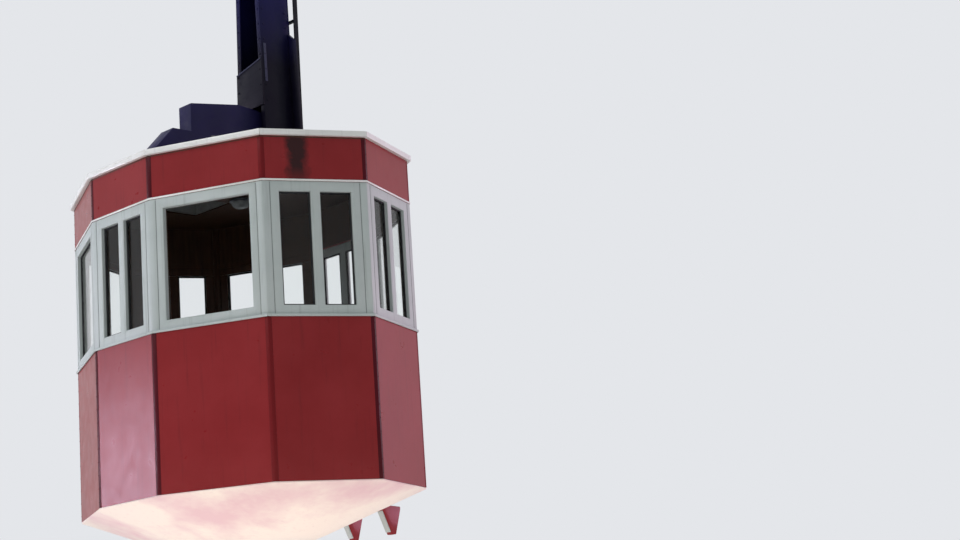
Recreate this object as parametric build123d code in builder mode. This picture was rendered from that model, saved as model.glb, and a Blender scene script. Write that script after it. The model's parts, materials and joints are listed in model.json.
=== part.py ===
from build123d import *
from collections import namedtuple
from math import atan2, cos, degrees, radians, sin, tan
import os

# An aerial cable car: a ten-sided cabin under an offset hanger and a four-wheel carriage.
# Millimetres. The origin is on the axis of the track rope, under the middle of the carriage.
# +X is the way of travel, +Y the door side and +Z up. Levels of the cabin count from its bottom rim.

# Plan of the cabin
side_length = 705.0
quarter_length = 875.0
nose_length = 725.0
quarter_turn = 24.5
nose_turn = 40.5
end_turn = 180.0 - 2 * (quarter_turn + nose_turn)

# Levels of the cabin, above its bottom rim
rope_height = 5490.0
underside_thick = 10.0
belly_depth = 270.0
belly_run = 660.0
floor_top = 95.0
sill_level = 1112.0
head_level = 2034.0
eaves_level = 2350.0
trim_height = 40.0
roof_rise = 45.0

# Walls
wall = 45.0
strip_leg = wall * 8 / 15
stile_leg = 50.0
pair_stile = 112.0
single_stile = 106.0
mullion = 65.0
rail = 70.0
pane_depth = 30.0
pane_thick = 6.0
seat_gap = 0.3
sill_proud = 12.0
sill_half = 9.0
trim_proud = 28.0
trim_bearing = 10.0
roof_slope_run = 200.0

# Door in the left side
hinge_gap = 5.0
latch_gap = 8.0
door_bottom = 105.0
door_head_gap = 6.0
hinge_pin_radius = 6.0
hinge_knuckle_radius = 12.0
hinge_axis_depth = 14.0
hinge_heights = (330.0, 1000.0, 1800.0)
knuckle_height = 60.0
tab_height = 18.0
running_gap = 0.05
handle_height = 1000.0

# Guides under the door side
guide_spread = 215.0
guide_half = 30.0
guide_reach = 180.0
guide_drop = 205.0
guide_tip = 88.0
guide_lap = 60.0
guide_strip_thick = 8.0
guide_strip_length = 170.0

# Roof hatch behind the hanger
hatch_middle = -600.0
hatch_size = 440.0
curb_wall = 22.0
curb_height = 55.0
lid_thick = 22.0
lid_overhang = 12.0
skirt_depth = 25.0
skirt_wall = 6.0
hatch_knuckle_radius = 11.0
hatch_pin_radius = 5.0
hatch_axis_behind = 26.0
hatch_knuckle_side = 120.0
hatch_knuckle_half = 20.0
hatch_lug_side = 160.0
hatch_lug_half = 15.0

# Hanger
arm_front = 170.0
arm_back = 450.0
arm_foot_half = 174.0
arm_head_half = 94.0
arm_plate = 12.0
arm_flange = 45.0
arm_top = 150.0
pin_height = 430.0
pin_radius = 50.0
head_radius = 115.0
beam_half = 75.0
beam_reach = 600.0
beam_toe = 780.0
beam_step = 255.0
block_height = 465.0
block_rise = 57.0
ladder_half = 200.0
ladder_pitch = 300.0

# Carriage
rope_radius = 24.0
tread_radius = 150.0
flange_radius = 180.0
wheel_half = 46.0
axle_radius = 22.0
wheel_gap = 220.0
rocker_pivot = 620.0
rocker_pivot_height = 315.0
rocker_inner = 52.0
rocker_thick = 14.0
rocker_pin_radius = 26.0
main_inner = 70.0
main_thick = 18.0
main_eye_radius = 58.0
main_boss_radius = 128.0
stub_radius = 85.0
stub_gap = 8.0
pin_head_thick = 12.0
clevis_reach = 880.0
clevis_bore = 12.5
haul_side = 135.0
haul_level = -200.0

# Levels in the part's own frame
rim_z = -rope_height
sill_z = rim_z + sill_level
head_z = rim_z + head_level
eaves_z = rim_z + eaves_level
plateau_z = eaves_z + trim_height + roof_rise
axle_z = rope_radius + tread_radius

os.makedirs("parts", exist_ok=True)


def save(piece, name):
    piece.part.label = name
    export_step(piece.part, f"parts/{name}.step")


# The ten faces of the cabin, anticlockwise from the rear end of the right side:
# name, length, turn at the far corner, window
face_table = [
    ("right_side", side_length, quarter_turn, "pair"),
    ("right_front_quarter", quarter_length, nose_turn, "open"),
    ("right_nose", nose_length, end_turn, "pair"),
    ("left_nose", nose_length, nose_turn, "pair"),
    ("left_front_quarter", quarter_length, quarter_turn, "single"),
    ("left_side", side_length, quarter_turn, "door"),
    ("left_rear_quarter", quarter_length, nose_turn, "single"),
    ("left_tail", nose_length, end_turn, "pair"),
    ("right_tail", nose_length, nose_turn, "pair"),
    ("right_rear_quarter", quarter_length, quarter_turn, "single"),
]
Face = namedtuple("Face", "name length window corner along outward plane turn_before turn_after")


def walk_faces():
    half_width = quarter_length * sin(radians(quarter_turn))
    half_width += nose_length * sin(radians(quarter_turn + nose_turn))
    corner = Vector(-side_length / 2, -half_width)
    heading = 0.0
    turn_before = face_table[-1][2]
    faces = []
    for name, length, turn, window in face_table:
        along = Vector(cos(radians(heading)), sin(radians(heading)))
        outward = Vector(along.Y, -along.X)
        plane = Plane(origin=corner + along * (length / 2), x_dir=along, z_dir=outward)
        faces.append(Face(name, length, window, corner, along, outward, plane, turn_before, turn))
        corner = corner + along * length
        heading += turn
        turn_before = turn
    return faces


faces = walk_faces()
door_face = next(face for face in faces if face.window == "door")


def outline(offset):
    """Corners of the plan, moved out by offset."""
    points = []
    for face in faces:
        shift = offset * tan(radians(face.turn_before / 2))
        points.append(face.corner + face.outward * offset - face.along * shift)
    return points


def ring_plan(offset):
    Polygon(*[(p.X, p.Y) for p in outline(offset)], align=None)


def mitred_strip(face, inner, outer):
    """A strip along one face between two offsets, cut on the mitre at both ends."""
    ends = []
    for offset in (inner, outer):
        before = offset * tan(radians(face.turn_before / 2)) - seat_gap / 2
        after = offset * tan(radians(face.turn_after / 2)) - seat_gap / 2
        base = face.corner + face.outward * offset
        ends.append((base - face.along * before, base + face.along * (face.length + after)))
    Polygon(*[(p.X, p.Y) for p in (ends[0][0], ends[0][1], ends[1][1], ends[1][0])], align=None)


def leg(face, upright):
    """How far a corner post reaches along a face: the door's jambs keep their full width."""
    return stile_leg if face.window == "door" else upright


def post_plan(index, upright):
    """A corner post in plan, bent over the corner before the face."""
    face = faces[index]
    before = faces[index - 1]
    inner = face.corner - face.outward * wall + face.along * (wall * tan(radians(face.turn_before / 2)))
    here = face.corner + face.along * leg(face, upright)
    back = face.corner - before.along * leg(before, upright)
    points = [face.corner, here, here - face.outward * wall, inner, back - before.outward * wall, back]
    Polygon(*[(p.X, p.Y) for p in points], align=None)


def slab_on(face, width, low, high):
    """A rectangle in a face's plane, between two levels of the part's frame."""
    with Locations((0, (low + high) / 2)):
        Rectangle(width, high - low)


def pane_spots(face):
    """Middles and width of a face's panes."""
    if face.window in ("pair", "door"):
        width = (face.length - 2 * pair_stile - mullion) / 2
        return [-(width + mullion) / 2, (width + mullion) / 2], width
    return [0.0], face.length - 2 * single_stile


pane_low = sill_z + rail
pane_high = head_z - rail
glass_height = pane_high - pane_low
glass_middle = (pane_low + pane_high) / 2

# Floor: the pale belly that slopes in below the rim, and the floor itself between the walls
with BuildPart() as underside_panel:
    with BuildSketch(Plane.XY.offset(rim_z - belly_depth)):
        ring_plan(0)
    extrude(amount=belly_depth + underside_thick)
    keel = underside_panel.faces().sort_by(Axis.Z)[0]
    chamfer(keel.edges(), length=belly_run, length2=belly_depth, reference=keel)
save(underside_panel, "underside_panel")

with BuildPart() as floor:
    with BuildSketch(Plane.XY.offset(rim_z + underside_thick)):
        ring_plan(-wall)
    extrude(amount=floor_top - underside_thick)
save(floor, "floor")

# Corner posts in three heights, as the colours change: node, low level, high level, reach along the face
post_table = [
    ("lower_corner_posts", rim_z + underside_thick, sill_z, strip_leg),
    ("window_corner_posts", sill_z, head_z, stile_leg),
    ("fascia_corner_posts", head_z, eaves_z, strip_leg),
]
for name, low, high, upright in post_table:
    with BuildPart() as posts:
        with BuildSketch(Plane.XY.offset(low)):
            for index in range(len(faces)):
                post_plan(index, upright)
        extrude(amount=high - low)
    save(posts, name)

# Lower panels and fascias, each as thick as the wall: node, low level, high level, faces
groups = {
    "side": ("right_side",),
    "quarter": ("right_front_quarter", "left_front_quarter", "left_rear_quarter", "right_rear_quarter"),
    "nose": ("right_nose", "left_nose"),
    "tail": ("left_tail", "right_tail"),
}
for group, names in groups.items():
    with BuildPart() as panels:
        for face in faces:
            if face.name in names:
                with BuildSketch(face.plane):
                    slab_on(face, face.length - 2 * strip_leg, rim_z + underside_thick, sill_z)
        extrude(amount=-wall)
    save(panels, f"{group}_lower_panel" if len(names) == 1 else f"{group}_lower_panels")

with BuildPart() as fascias:
    for face in faces:
        with BuildSketch(face.plane):
            slab_on(face, face.length - 2 * leg(face, strip_leg), head_z, eaves_z)
    extrude(amount=-wall)
save(fascias, "fascia_panels")


# Window frames with their panes cut out, and the glass
def frame_plan(face, width, low, high):
    slab_on(face, width, low, high)
    spots, pane_width = pane_spots(face)
    with Locations(*[(spot, glass_middle) for spot in spots]):
        Rectangle(pane_width, glass_height, mode=Mode.SUBTRACT)


def glass_plan(face):
    spots, pane_width = pane_spots(face)
    with Locations(*[(spot, glass_middle) for spot in spots]):
        Rectangle(pane_width - 2 * seat_gap, glass_height - 2 * seat_gap)


frame_table = [
    ("side_window_frame", ("right_side",)),
    ("open_window_frame", ("right_front_quarter",)),
    ("quarter_window_frames", ("left_front_quarter", "left_rear_quarter", "right_rear_quarter")),
    ("nose_window_frames", ("right_nose", "left_nose")),
    ("tail_window_frames", ("left_tail", "right_tail")),
]
for name, names in frame_table:
    with BuildPart() as frames:
        for face in faces:
            if face.name in names:
                with BuildSketch(face.plane):
                    frame_plan(face, face.length - 2 * stile_leg, sill_z, head_z)
        extrude(amount=-wall)
    save(frames, name)

with BuildPart() as window_panes:
    for face in faces:
        if face.window in ("pair", "single"):
            with BuildSketch(face.plane.offset(-pane_depth)):
                glass_plan(face)
    extrude(amount=-pane_thick)
save(window_panes, "window_panes")

# Sill moulding, proud of the wall where the red meets the window band; the door has its own
with BuildPart() as sill_moulding:
    with BuildSketch(Plane.XY.offset(sill_z - sill_half)):
        for face in faces:
            if face.window != "door":
                mitred_strip(face, 0, sill_proud)
    extrude(amount=2 * sill_half)
save(sill_moulding, "sill_moulding")

# Eaves trim on top of the walls, and the roof deck inside it, rising to a flat plateau
with BuildPart() as eaves_trim:
    with BuildSketch(Plane.XY.offset(eaves_z)):
        for face in faces:
            mitred_strip(face, -trim_bearing, trim_proud)
    extrude(amount=trim_height)
save(eaves_trim, "eaves_trim")

with BuildPart() as roof_deck:
    with BuildSketch(Plane.XY.offset(eaves_z)):
        ring_plan(-trim_bearing)
    extrude(amount=trim_height)
    with BuildSketch(Plane.XY.offset(eaves_z + trim_height)):
        ring_plan(-trim_bearing)
    extrude(amount=roof_rise, taper=degrees(atan2(roof_slope_run, roof_rise)))
    with BuildSketch(Plane.XY.offset(eaves_z)):
        with Locations((hatch_middle, 0)):
            Rectangle(hatch_size, hatch_size)
    extrude(amount=trim_height + roof_rise, mode=Mode.SUBTRACT)
save(roof_deck, "roof_deck")

# Roof hatch: a curb on the deck with two lugs behind it, and a lid that swings back on them
curb_outer = hatch_size + 2 * curb_wall
curb_rear = hatch_middle - curb_outer / 2
lid_z = plateau_z + curb_height + seat_gap
hatch_axis = (curb_rear - hatch_axis_behind, lid_z + lid_thick / 2)
lug_rear = hatch_axis[0] - hatch_knuckle_radius
with BuildPart() as hatch_curb:
    with BuildSketch(Plane.XY.offset(plateau_z)):
        with Locations((hatch_middle, 0)):
            Rectangle(curb_outer, curb_outer)
            Rectangle(hatch_size, hatch_size, mode=Mode.SUBTRACT)
    extrude(amount=curb_height)
    for side in (-1, 1):
        with BuildSketch(Plane.XZ.offset(-side * hatch_lug_side)):
            with Locations(hatch_axis):
                Circle(hatch_knuckle_radius)
            Polygon(
                (lug_rear, hatch_axis[1]),
                (lug_rear, lid_z - 26),
                (curb_rear, lid_z - 26),
                (curb_rear, lid_z - 4),
                (lug_rear + 18, lid_z - 4),
                (lug_rear + 18, hatch_axis[1]),
                align=None,
            )
        extrude(amount=hatch_lug_half, both=True)
        with BuildSketch(Plane.XZ.offset(-side * (hatch_lug_side - 30))):
            with Locations(hatch_axis):
                Circle(hatch_pin_radius)
        extrude(amount=36, both=True)
save(hatch_curb, "hatch_curb")

lid_half = curb_outer / 2 + lid_overhang
lid_rear = curb_rear - lid_overhang + 2
lid_front = hatch_middle + lid_half
with BuildPart() as hatch_lid:
    with BuildSketch(Plane.XY.offset(lid_z)):
        with Locations(((lid_rear + lid_front) / 2, 0)):
            Rectangle(lid_front - lid_rear, 2 * lid_half)
    extrude(amount=lid_thick)
    with BuildSketch(Plane.XY.offset(lid_z)):
        with Locations(((curb_rear + lid_front) / 2, 0)):
            Rectangle(lid_front - curb_rear, 2 * lid_half)
        with Locations(((curb_rear + lid_front - skirt_wall) / 2, 0)):
            Rectangle(lid_front - curb_rear - skirt_wall, 2 * (lid_half - skirt_wall), mode=Mode.SUBTRACT)
    extrude(amount=-skirt_depth)
    for side in (-1, 1):
        with BuildSketch(Plane.XZ.offset(-side * hatch_knuckle_side)):
            with Locations(hatch_axis):
                Circle(hatch_knuckle_radius)
            with Locations(((hatch_axis[0] + lid_rear) / 2, hatch_axis[1])):
                Rectangle(lid_rear - hatch_axis[0], hatch_knuckle_radius)
            with Locations(hatch_axis):
                Circle(hatch_pin_radius + running_gap, mode=Mode.SUBTRACT)
        extrude(amount=hatch_knuckle_half, both=True)
save(hatch_lid, "hatch_lid")

# Door: threshold, leaf in two colours, panes, handles and three hinges
door_width = door_face.length - 2 * stile_leg - hinge_gap - latch_gap
door_shift = (hinge_gap - latch_gap) / 2
door_plane = door_face.plane
jamb = door_face.length / 2 - stile_leg
with BuildPart() as door_threshold:
    with BuildSketch(door_plane):
        slab_on(door_face, 2 * jamb, rim_z + underside_thick, rim_z + door_bottom - 8)
    extrude(amount=-wall)
save(door_threshold, "door_threshold")

with BuildPart() as door_lower_panel:
    with BuildSketch(door_plane):
        with Locations((door_shift, (rim_z + door_bottom + sill_z) / 2)):
            Rectangle(door_width, sill_level - door_bottom)
    extrude(amount=-wall)
save(door_lower_panel, "door_lower_panel")

door_high = head_z - door_head_gap
with BuildPart() as door_window_frame:
    with BuildSketch(door_plane):
        with Locations((door_shift, (sill_z + door_high) / 2)):
            Rectangle(door_width, door_high - sill_z)
        spots, pane_width = pane_spots(door_face)
        with Locations(*[(spot, glass_middle) for spot in spots]):
            Rectangle(pane_width, glass_height, mode=Mode.SUBTRACT)
    extrude(amount=-wall)
save(door_window_frame, "door_window_frame")

with BuildPart() as door_panes:
    with BuildSketch(door_plane.offset(-pane_depth)):
        glass_plan(door_face)
    extrude(amount=-pane_thick)
save(door_panes, "door_panes")

# Guides under the door side: two tapered horns bolted to the threshold, each with a wear strip
door_wall = door_plane.origin.Y
with BuildPart() as side_guides:
    for side in (-1, 1):
        with BuildSketch(Plane.YZ.offset(side * guide_spread)):
            Polygon(
                (door_wall + seat_gap, rim_z + guide_lap),
                (door_wall + 16, rim_z + guide_lap),
                (door_wall + 34, rim_z + 10),
                (door_wall + guide_reach, rim_z),
                (door_wall + guide_reach, rim_z - 20),
                (door_wall + guide_tip + 38, rim_z - guide_drop),
                (door_wall + guide_tip, rim_z - guide_drop),
                (door_wall + seat_gap, rim_z - 12),
                align=None,
            )
        extrude(amount=guide_half, both=True)
save(side_guides, "side_guides")

strip_lean = atan2(guide_tip - seat_gap, guide_drop - 12)
strip_middle = Vector(door_wall + (guide_tip + seat_gap) / 2, rim_z - (guide_drop + 12) / 2)
with BuildPart() as guide_strips:
    for side in (-1, 1):
        with BuildSketch(Plane.YZ.offset(side * guide_spread)):
            with Locations(
                Location(
                    (
                        strip_middle.X - (guide_strip_thick / 2) * cos(strip_lean),
                        strip_middle.Y - (guide_strip_thick / 2) * sin(strip_lean),
                    ),
                    degrees(strip_lean),
                )
            ):
                Rectangle(guide_strip_thick, guide_strip_length)
        extrude(amount=guide_half - 4, both=True)
save(guide_strips, "guide_strips")

# Hinge axis: just inside the wall, in the gap between leaf and jamb on the front side
inner_y = door_plane.origin.Y - wall
tab_length = round(stile_leg - wall * tan(radians(quarter_turn / 2)))
hinge_x = jamb - hinge_gap / 2
hinge_y = inner_y - hinge_axis_depth
with BuildPart() as door_hinge_tabs:
    for height in hinge_heights:
        middle = rim_z + height
        with BuildSketch(Plane.XY.offset(middle - knuckle_height / 2 - tab_height - 1)):
            with Locations((hinge_x, hinge_y)):
                Circle(hinge_pin_radius)
        extrude(amount=knuckle_height + 2 * tab_height + 2)
        for low in (middle - knuckle_height / 2 - tab_height - 1, middle + knuckle_height / 2 + 1):
            with BuildSketch(Plane.XY.offset(low)):
                with Locations((hinge_x, hinge_y)):
                    RegularPolygon(hinge_knuckle_radius, 8)
                with Locations((hinge_x + 2 + tab_length / 2, inner_y - 5)):
                    Rectangle(tab_length, 10)
            extrude(amount=tab_height)
save(door_hinge_tabs, "door_hinge_tabs")

with BuildPart() as door_hinge_knuckles:
    for height in hinge_heights:
        with BuildSketch(Plane.XY.offset(rim_z + height - knuckle_height / 2)):
            with Locations((hinge_x, hinge_y)):
                Circle(hinge_knuckle_radius)
            with Locations((hinge_x - 32, inner_y - 4)):
                Rectangle(52, 8)
            with Locations((hinge_x - 5, inner_y - 6)):
                Rectangle(4, 12)
            with Locations((hinge_x, hinge_y)):
                Circle(hinge_pin_radius + running_gap, mode=Mode.SUBTRACT)
        extrude(amount=knuckle_height)
save(door_hinge_knuckles, "door_hinge_knuckles")

latch_x = -(jamb - latch_gap - 40)
with BuildPart() as door_handles:
    for face_y, side in ((door_plane.origin.Y, 1), (inner_y, -1)):
        with BuildSketch(Plane.XY.offset(rim_z + handle_height)):
            with Locations((latch_x, face_y + side * 38)):
                Rectangle(22, 14)
        extrude(amount=70, both=True)
        for rise in (-55, 55):
            with BuildSketch(Plane.XZ.offset(-face_y)):
                with Locations((latch_x, rim_z + handle_height + rise)):
                    Rectangle(16, 16)
            extrude(amount=-side * 38)
save(door_handles, "door_handles")

# Dropped sash of the open window, against the inside of its lower panel
open_face = next(face for face in faces if face.window == "open")
sash_width = pane_spots(open_face)[1] + 30
sash_height = glass_height + 20
sash_plane = open_face.plane.offset(-wall - seat_gap)
sash_middle = sill_z + 10 - sash_height / 2
with BuildPart() as dropped_sash:
    with BuildSketch(sash_plane):
        with Locations((0, sash_middle)):
            Rectangle(sash_width, sash_height)
            Rectangle(sash_width - 76, sash_height - 76, mode=Mode.SUBTRACT)
    extrude(amount=-20)
save(dropped_sash, "dropped_sash")

with BuildPart() as dropped_sash_pane:
    with BuildSketch(sash_plane.offset(-8)):
        with Locations((0, sash_middle)):
            Rectangle(sash_width - 76 - 2 * seat_gap, sash_height - 76 - 2 * seat_gap)
    extrude(amount=-pane_thick)
save(dropped_sash_pane, "dropped_sash_pane")

# Handrails inside, under the windows: a flat bar on two brackets along each wall but the door's
rail_level = sill_z - 40
rail_stand = 90.0
rail_thick = 26.0
rail_high = 46.0
bracket_width = 14.0


def rail_end(face):
    """How far a handrail stays from the corners, so that it clears the next one."""
    return (wall + rail_stand + rail_thick) * tan(radians(max(face.turn_before, face.turn_after) / 2)) + 10


with BuildPart() as handrails:
    for face in faces:
        if face.window != "door":
            half = face.length / 2 - rail_end(face)
            with BuildSketch(face.plane.offset(-wall - rail_stand)):
                with Locations((0, rail_level)):
                    Rectangle(2 * half, rail_high)
            extrude(amount=-rail_thick)
            with BuildSketch(face.plane.offset(-wall)):
                bracket_spot = half - bracket_width / 2
                with Locations((-bracket_spot, rail_level), (bracket_spot, rail_level)):
                    Rectangle(bracket_width, rail_high - 8)
            extrude(amount=-rail_stand)
save(handrails, "handrails")

# Roof beam: a long foot across the roof, and a taller block on it that rises to the middle
block_top = plateau_z + block_height
block_reach = arm_back - arm_plate
with BuildPart() as roof_beam:
    with BuildSketch(Plane.YZ):
        with BuildLine():
            Polyline(
                (-beam_toe, plateau_z),
                (beam_toe, plateau_z),
                (beam_toe, plateau_z + 60),
                (beam_reach, plateau_z + beam_step),
                (block_reach, plateau_z + beam_step),
                (block_reach, block_top),
                (0, block_top + block_rise),
                (-block_reach, block_top),
                (-block_reach, plateau_z + beam_step),
                (-beam_reach, plateau_z + beam_step),
                (-beam_toe, plateau_z + 60),
                close=True,
            )
        make_face()
    extrude(amount=beam_half, both=True)
save(roof_beam, "roof_beam")

# Sole beams along the roof, butting against the roof beam
with BuildPart() as sole_beams:
    with BuildSketch(Plane.XY.offset(plateau_z)):
        with Locations((290, 520), (290, -520), (-290, 520), (-290, -520)):
            Rectangle(420, 60)
    extrude(amount=90)
save(sole_beams, "sole_beams")

foot_plate_thick = 20.0
with BuildPart() as foot_plates:
    with BuildSketch(Plane.XY.offset(plateau_z)):
        for side in (-1, 1):
            with Locations((side * 167, (arm_front + arm_back) / 2)):
                Rectangle(2 * (167 - beam_half), arm_back - arm_front + 50)
    extrude(amount=foot_plate_thick)
save(foot_plates, "foot_plates")

# Hanger: two channel legs that lean together, closed by a back plate and tied by front plates
leg_low = plateau_z + foot_plate_thick
leg_slope = (arm_foot_half - arm_head_half) / (arm_top - plateau_z)


def arm_half(level):
    """Half the width of the hanger at a level."""
    return arm_foot_half - leg_slope * (level - plateau_z)


def leaning_strip(side, thick, low, high):
    """A strip along one edge of the hanger, seen from the front, thick inwards."""
    Polygon(
        (side * arm_half(low), low),
        (side * (arm_half(low) - thick), low),
        (side * (arm_half(high) - thick), high),
        (side * arm_half(high), high),
        align=None,
    )


with BuildPart() as hanger_legs:
    for side in (-1, 1):
        with BuildSketch(Plane.XZ.offset(-arm_front)):
            leaning_strip(side, arm_plate, leg_low, arm_top)
        extrude(amount=-(arm_back - arm_front - arm_plate))
        with BuildSketch(Plane.XZ.offset(-arm_front)):
            leaning_strip(side, arm_flange, leg_low, arm_top)
        extrude(amount=-arm_plate)
save(hanger_legs, "hanger_legs")

back_low = plateau_z + beam_step + 5
with BuildPart() as hanger_back_plate:
    with BuildSketch(Plane.XZ.offset(-(arm_back - arm_plate))):
        with BuildLine():
            Polyline(
                (-arm_half(back_low), back_low),
                (arm_half(back_low), back_low),
                (arm_half(arm_top), arm_top),
                (-arm_half(arm_top), arm_top),
                close=True,
            )
        make_face()
    extrude(amount=-arm_plate)
save(hanger_back_plate, "hanger_back_plate")

# Front plates on the legs: the foot plate with its sloping top, then a tie plate at each step
tie_table = [
    (plateau_z + block_height + 65, rim_z + 3267, rim_z + 3333),
    (rim_z + 4000, rim_z + 4160, rim_z + 4160),
    (rim_z + 4720, rim_z + 4880, rim_z + 4880),
    (rim_z + 5400, rim_z + 5560, rim_z + 5560),
]
tie_thick = 10.0
with BuildPart() as hanger_tie_plates:
    with BuildSketch(Plane.XZ.offset(-(arm_front - tie_thick))):
        for low, rear_high, front_high in tie_table:
            with BuildLine():
                Polyline(
                    (-arm_half(low), low),
                    (arm_half(low), low),
                    (arm_half(front_high), front_high),
                    (-arm_half(rear_high), rear_high),
                    close=True,
                )
            make_face()
    extrude(amount=-tie_thick)
save(hanger_tie_plates, "hanger_tie_plates")

# Ladder on the back of the hanger, and the gussets that hold its foot
stile_depth = 36.0
stile_thick = 12.0
rung_side = 20.0
ladder_y = arm_back + stile_depth / 2 + seat_gap
ladder_low = plateau_z + foot_plate_thick
first_rung = plateau_z + beam_step + 75
ladder_high = arm_top - 100
gusset_high = rim_z + 3500
with BuildPart() as hanger_ladder:
    for side in (-1, 1):
        with BuildSketch(Plane.XY.offset(ladder_low)):
            with Locations((side * ladder_half, ladder_y)):
                Rectangle(stile_thick, stile_depth)
        extrude(amount=ladder_high - ladder_low)
    rung_count = int((ladder_high - first_rung) / ladder_pitch) + 1
    rungs = [first_rung + step * ladder_pitch for step in range(rung_count)]
    with BuildSketch(Plane.YZ):
        with Locations(*[(ladder_y, level) for level in rungs]):
            Rectangle(rung_side, rung_side)
    extrude(amount=ladder_half, both=True)
    with BuildSketch(Plane.XZ.offset(-(arm_back + seat_gap))):
        with Locations(*[(0, level) for level in rungs[1::4]]):
            Rectangle(2 * arm_head_half - 30, 12)
    extrude(amount=-stile_depth / 2)
save(hanger_ladder, "hanger_ladder")

with BuildPart() as hanger_gussets:
    for side in (-1, 1):
        with BuildSketch(Plane.XZ.offset(-(arm_back - 2 * arm_plate))):
            with BuildLine():
                Polyline(
                    (side * (arm_half(leg_low) + seat_gap), leg_low),
                    (side * 262, leg_low),
                    (side * 216, gusset_high),
                    (side * (arm_half(gusset_high) + seat_gap), gusset_high + 60),
                    close=True,
                )
            make_face()
    extrude(amount=-2 * arm_plate)
save(hanger_gussets, "hanger_gussets")

# Head of the hanger, a casting that hangs on the main pin
with BuildPart() as hanger_head:
    with BuildSketch(Plane.XZ.offset(-arm_front)):
        with Locations((0, pin_height)):
            Circle(head_radius)
        with Locations((0, arm_top + 10)):
            Rectangle(2 * arm_head_half, 20)
        make_hull()
        with Locations((0, pin_height)):
            Circle(pin_radius + running_gap, mode=Mode.SUBTRACT)
    extrude(amount=-(arm_back - arm_front))
    with BuildSketch(Plane.XZ.offset(-arm_front)):
        with Locations((0, 245)):
            Trapezoid(130, 110, 95, 95)
    extrude(amount=-90, mode=Mode.SUBTRACT)
save(hanger_head, "hanger_head")

# Main beam of the carriage: two plates outside the rockers, spacers, and the stub for the main pin
main_outer = main_inner + main_thick
stub_end = arm_front - stub_gap
pivots = [(-rocker_pivot, rocker_pivot_height), (rocker_pivot, rocker_pivot_height)]
pin_spot = (0, pin_height)
with BuildPart() as main_beam:
    for inner in (main_inner, -main_outer):
        with BuildSketch(Plane.XZ.offset(-inner)):
            with Locations(*pivots):
                RegularPolygon(main_eye_radius, 8, major_radius=False, rotation=22.5)
            with Locations(pin_spot):
                RegularPolygon(main_boss_radius, 8, major_radius=False, rotation=22.5)
            make_hull()
            with Locations(*pivots):
                Circle(rocker_pin_radius + running_gap, mode=Mode.SUBTRACT)
            with Locations((-360, 365), (360, 365)):
                SlotOverall(220, 60, mode=Mode.SUBTRACT)
        extrude(amount=-main_thick)
    with BuildSketch(Plane.XZ):
        with Locations((-190, 450), (190, 450)):
            Circle(24)
    extrude(amount=main_inner, both=True)
    with BuildSketch(Plane.XZ.offset(-main_outer)):
        with Locations(pin_spot):
            Circle(stub_radius)
    extrude(amount=-(stub_end - main_outer))
    with BuildSketch(Plane.XZ.offset(main_outer)):
        with Locations(pin_spot):
            Circle(pin_radius + running_gap)
    extrude(amount=-(stub_end + main_outer), mode=Mode.SUBTRACT)
save(main_beam, "main_beam")

pin_low = -main_outer - pin_head_thick - seat_gap
pin_high = arm_back + 2 * pin_head_thick
with BuildPart() as main_pin:
    with BuildSketch(Plane.XZ.offset(-pin_low)):
        with Locations(pin_spot):
            Circle(pin_radius)
    extrude(amount=-(pin_high - pin_low))
    for start in (pin_low, arm_back + 5):
        with BuildSketch(Plane.XZ.offset(-start)):
            with Locations(pin_spot):
                RegularPolygon(80, 6)
        extrude(amount=-pin_head_thick)
save(main_pin, "main_pin")

# Rockers: each a pair of plates that carries two wheels between them
wheel_spots = [side * rocker_pivot + reach for side in (-1, 1) for reach in (-wheel_gap, wheel_gap)]
with BuildPart() as rockers:
    for pivot in (-rocker_pivot, rocker_pivot):
        axle_spots = [(pivot - wheel_gap, axle_z), (pivot + wheel_gap, axle_z)]
        for inner in (rocker_inner, -rocker_inner - rocker_thick):
            with BuildSketch(Plane.XZ.offset(-inner)):
                with Locations(*axle_spots):
                    RegularPolygon(40, 8, major_radius=False, rotation=22.5)
                with Locations((pivot, rocker_pivot_height)):
                    RegularPolygon(52, 8, major_radius=False, rotation=22.5)
                make_hull()
                with Locations(*axle_spots):
                    Circle(axle_radius + running_gap, mode=Mode.SUBTRACT)
                with Locations((pivot, rocker_pivot_height)):
                    Circle(rocker_pin_radius + running_gap, mode=Mode.SUBTRACT)
            extrude(amount=-rocker_thick)
save(rockers, "rockers")


def through_pin(spots, level, half, radius, head_radius):
    """Pins across the carriage with a head at each end."""
    with BuildSketch(Plane.XZ) as shaft:
        with Locations(*[(spot, level) for spot in spots]):
            Circle(radius)
    extrude(shaft.sketch, amount=half + pin_head_thick, both=True)
    for start in (half, -half - pin_head_thick):
        with BuildSketch(Plane.XZ.offset(-start)) as head:
            with Locations(*[(spot, level) for spot in spots]):
                RegularPolygon(head_radius, 6)
        extrude(head.sketch, amount=-pin_head_thick)


with BuildPart() as rocker_pins:
    pin_half = main_outer + seat_gap
    through_pin((-rocker_pivot, rocker_pivot), rocker_pivot_height, pin_half, rocker_pin_radius, 38)
save(rocker_pins, "rocker_pins")

with BuildPart() as wheel_axles:
    through_pin(wheel_spots, axle_z, rocker_inner + rocker_thick + seat_gap, axle_radius, 32)
save(wheel_axles, "wheel_axles")

# Rope wheels: turned, with a groove for the rope
groove_half = rope_radius + 3
for number, spot in enumerate(wheel_spots, start=1):
    with BuildPart() as rope_wheel:
        with BuildSketch(Plane.XY.offset(axle_z)):
            with BuildLine():
                Polyline(
                    (spot + tread_radius, -groove_half),
                    (spot + tread_radius, groove_half),
                    (spot + flange_radius, groove_half),
                    (spot + flange_radius, wheel_half),
                    (spot + axle_radius + running_gap, wheel_half),
                    (spot + axle_radius + running_gap, -wheel_half),
                    (spot + flange_radius, -wheel_half),
                    (spot + flange_radius, -groove_half),
                    close=True,
                )
            make_face()
        revolve(axis=Axis((spot, 0, axle_z), (0, 1, 0)))
    save(rope_wheel, f"rope_wheel_{number}")

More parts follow.
